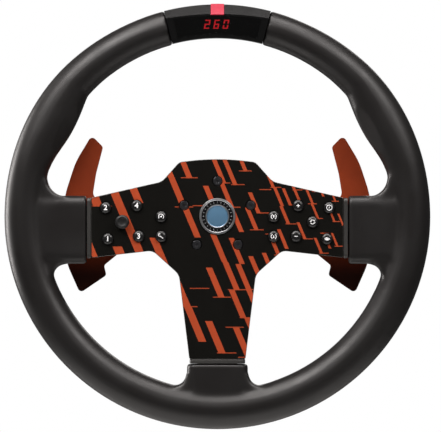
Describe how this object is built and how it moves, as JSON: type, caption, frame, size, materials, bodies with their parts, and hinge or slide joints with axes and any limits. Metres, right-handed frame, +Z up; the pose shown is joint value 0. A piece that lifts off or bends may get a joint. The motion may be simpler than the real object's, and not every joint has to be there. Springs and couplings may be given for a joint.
{
  "type": "racing wheel",
  "caption": "Round simulator racing wheel: moulded grip, three-spoke hub plate with buttons and a thumb stick, shift paddles, rim display and a quick-release socket.",
  "frame": {"origin": "centre of the quick-release socket's mouth, on the steering axis", "axes": "+Y along the steering axis away from the driver, +Z up, +X to the driver's right"},
  "size_m": [0.32, 0.0765, 0.3191],
  "materials": {
    "grip_rubber": "satin overmoulded rubber",
    "collar_satin": "satin dark grey",
    "display_shell": "gloss black",
    "display_lens": "smoked clear",
    "digit_red": "lit red",
    "marker_red": "translucent pink red, lit",
    "module_black": "matt black",
    "circuit_board": "green solder mask",
    "lead_sleeve": "black sleeve",
    "frame_metal": "cut plate",
    "plate_black": "matt black with orange slanted dashes",
    "housing_plastic": "fine textured black",
    "screw_black": "black oxide",
    "badge_chrome": "polished, black inlay",
    "badge_centre": "spun blue grey",
    "button_black": "satin black with pale print",
    "switch_body": "black moulding",
    "stick_plastic": "soft black",
    "gimbal_white": "natural acetal",
    "paddle_orange": "orange red anodised",
    "bracket_metal": "black anodised",
    "pin_steel": "ground",
    "magnet_nickel": "nickel plated",
    "release_metal": "black anodised",
    "socket_steel": "turned",
    "spring_steel": "drawn wire",
    "contact_block": "black with brass pins"
  },
  "bodies": {
    "root": {"bracket_magnet_left": "magnet_nickel", "bracket_magnet_right": "magnet_nickel", "button_board_left": "circuit_board", "button_board_right": "circuit_board", "button_switches_left": "switch_body", "button_switches_right": "switch_body", "center_marker": "marker_red", "display_board": "circuit_board", "display_digits": "digit_red", "display_front_cover": "display_shell", "display_lead": "lead_sleeve", "display_module": "module_black", "display_rear_cover": "display_shell", "display_window": "display_lens", "emblem_disc": "badge_centre", "emblem_ring": "badge_chrome", "faceplate": "plate_black", "hub_bolts": "screw_black", "hub_rear_cover": "housing_plastic", "hub_tray": "housing_plastic", "main_board": "circuit_board", "paddle_bracket_left": "bracket_metal", "paddle_bracket_right": "bracket_metal", "paddle_pin_left": "pin_steel", "paddle_pin_right": "pin_steel", "paddle_switch_left": "switch_body", "paddle_switch_right": "switch_body", "qr_balls": "spring_steel", "qr_contacts": "contact_block", "qr_retaining_ring": "spring_steel", "qr_socket": "socket_steel", "qr_spring": "spring_steel", "rear_screws": "screw_black", "rim_frame": "frame_metal", "rim_grip": "grip_rubber", "spoke_trim_bottom": "collar_satin", "spoke_trim_left": "collar_satin", "spoke_trim_right": "collar_satin", "stick_base": "switch_body"},
    "button_left_hub_bottom": {"button_left_hub_bottom": "button_black"},
    "button_left_hub_top": {"button_left_hub_top": "button_black"},
    "button_left_inner_bottom": {"button_left_inner_bottom": "button_black"},
    "button_left_inner_top": {"button_left_inner_top": "button_black"},
    "button_left_outer_bottom": {"button_left_outer_bottom": "button_black"},
    "button_left_outer_top": {"button_left_outer_top": "button_black"},
    "button_right_hub_bottom": {"button_right_hub_bottom": "button_black"},
    "button_right_hub_top": {"button_right_hub_top": "button_black"},
    "button_right_inner_bottom": {"button_right_inner_bottom": "button_black"},
    "button_right_inner_top": {"button_right_inner_top": "button_black"},
    "button_right_middle": {"button_right_middle": "button_black"},
    "button_right_outer_bottom": {"button_right_outer_bottom": "button_black"},
    "button_right_outer_top": {"button_right_outer_top": "button_black"},
    "stick_gimbal": {"stick_gimbal": "gimbal_white"},
    "stick_yoke": {"stick_yoke": "gimbal_white"},
    "stick_cap": {"stick_cap": "stick_plastic"},
    "paddle_left": {"paddle_left": "paddle_orange", "paddle_magnet_left": "magnet_nickel"},
    "paddle_right": {"paddle_right": "paddle_orange", "paddle_magnet_right": "magnet_nickel"},
    "qr_release_ring": {"qr_release_ring": "release_metal"}
  },
  "joints": [
    {"name": "button_left_hub_bottom_press", "type": "slide", "parent": "root", "child": "button_left_hub_bottom", "axis": [0, 1, 0], "range_m": [0, 0.0008], "stiffness_N_per_m": 400, "springref_m": -0.002},
    {"name": "button_left_hub_top_press", "type": "slide", "parent": "root", "child": "button_left_hub_top", "axis": [0, 1, 0], "range_m": [0, 0.0008], "stiffness_N_per_m": 400, "springref_m": -0.002},
    {"name": "button_left_inner_bottom_press", "type": "slide", "parent": "root", "child": "button_left_inner_bottom", "axis": [0, 1, 0], "range_m": [0, 0.0008], "stiffness_N_per_m": 400, "springref_m": -0.002},
    {"name": "button_left_inner_top_press", "type": "slide", "parent": "root", "child": "button_left_inner_top", "axis": [0, 1, 0], "range_m": [0, 0.0008], "stiffness_N_per_m": 400, "springref_m": -0.002},
    {"name": "button_left_outer_bottom_press", "type": "slide", "parent": "root", "child": "button_left_outer_bottom", "axis": [0, 1, 0], "range_m": [0, 0.0008], "stiffness_N_per_m": 400, "springref_m": -0.002},
    {"name": "button_left_outer_top_press", "type": "slide", "parent": "root", "child": "button_left_outer_top", "axis": [0, 1, 0], "range_m": [0, 0.0008], "stiffness_N_per_m": 400, "springref_m": -0.002},
    {"name": "button_right_hub_bottom_press", "type": "slide", "parent": "root", "child": "button_right_hub_bottom", "axis": [0, 1, 0], "range_m": [0, 0.0008], "stiffness_N_per_m": 400, "springref_m": -0.002},
    {"name": "button_right_hub_top_press", "type": "slide", "parent": "root", "child": "button_right_hub_top", "axis": [0, 1, 0], "range_m": [0, 0.0008], "stiffness_N_per_m": 400, "springref_m": -0.002},
    {"name": "button_right_inner_bottom_press", "type": "slide", "parent": "root", "child": "button_right_inner_bottom", "axis": [0, 1, 0], "range_m": [0, 0.0008], "stiffness_N_per_m": 400, "springref_m": -0.002},
    {"name": "button_right_inner_top_press", "type": "slide", "parent": "root", "child": "button_right_inner_top", "axis": [0, 1, 0], "range_m": [0, 0.0008], "stiffness_N_per_m": 400, "springref_m": -0.002},
    {"name": "button_right_middle_press", "type": "slide", "parent": "root", "child": "button_right_middle", "axis": [0, 1, 0], "range_m": [0, 0.0008], "stiffness_N_per_m": 400, "springref_m": -0.002},
    {"name": "button_right_outer_bottom_press", "type": "slide", "parent": "root", "child": "button_right_outer_bottom", "axis": [0, 1, 0], "range_m": [0, 0.0008], "stiffness_N_per_m": 400, "springref_m": -0.002},
    {"name": "button_right_outer_top_press", "type": "slide", "parent": "root", "child": "button_right_outer_top", "axis": [0, 1, 0], "range_m": [0, 0.0008], "stiffness_N_per_m": 400, "springref_m": -0.002},
    {"name": "stick_up_down", "type": "hinge", "parent": "root", "child": "stick_gimbal", "pos_m": [-0.0712, -0.065, -0.0043], "axis": [1, 0, 0], "range_deg": [-7, 7], "stiffness_Nm_per_rad": 0.01},
    {"name": "stick_left_right", "type": "hinge", "parent": "stick_gimbal", "child": "stick_yoke", "pos_m": [-0.0712, -0.065, -0.0043], "axis": [0, 0, 1], "range_deg": [-7, 7], "stiffness_Nm_per_rad": 0.01},
    {"name": "stick_press", "type": "slide", "parent": "stick_yoke", "child": "stick_cap", "axis": [0, 1, 0], "range_m": [0, 0.00035], "stiffness_N_per_m": 400, "springref_m": -0.002},
    {"name": "paddle_left_pull", "type": "hinge", "parent": "root", "child": "paddle_left", "pos_m": [-0.066, -0.0435, -0.002], "axis": [0, 0, 1], "range_deg": [0, 5], "stiffness_Nm_per_rad": 2, "springref_deg": -4.58},
    {"name": "paddle_right_pull", "type": "hinge", "parent": "root", "child": "paddle_right", "pos_m": [0.066, -0.0435, -0.002], "axis": [0, 0, -1], "range_deg": [0, 5], "stiffness_Nm_per_rad": 2, "springref_deg": -4.58},
    {"name": "quick_release_pull", "type": "slide", "parent": "root", "child": "qr_release_ring", "axis": [0, -1, 0], "range_m": [0, 0.005], "stiffness_N_per_m": 1500, "springref_m": -0.006, "deforming": ["qr_spring"]}
  ]
}
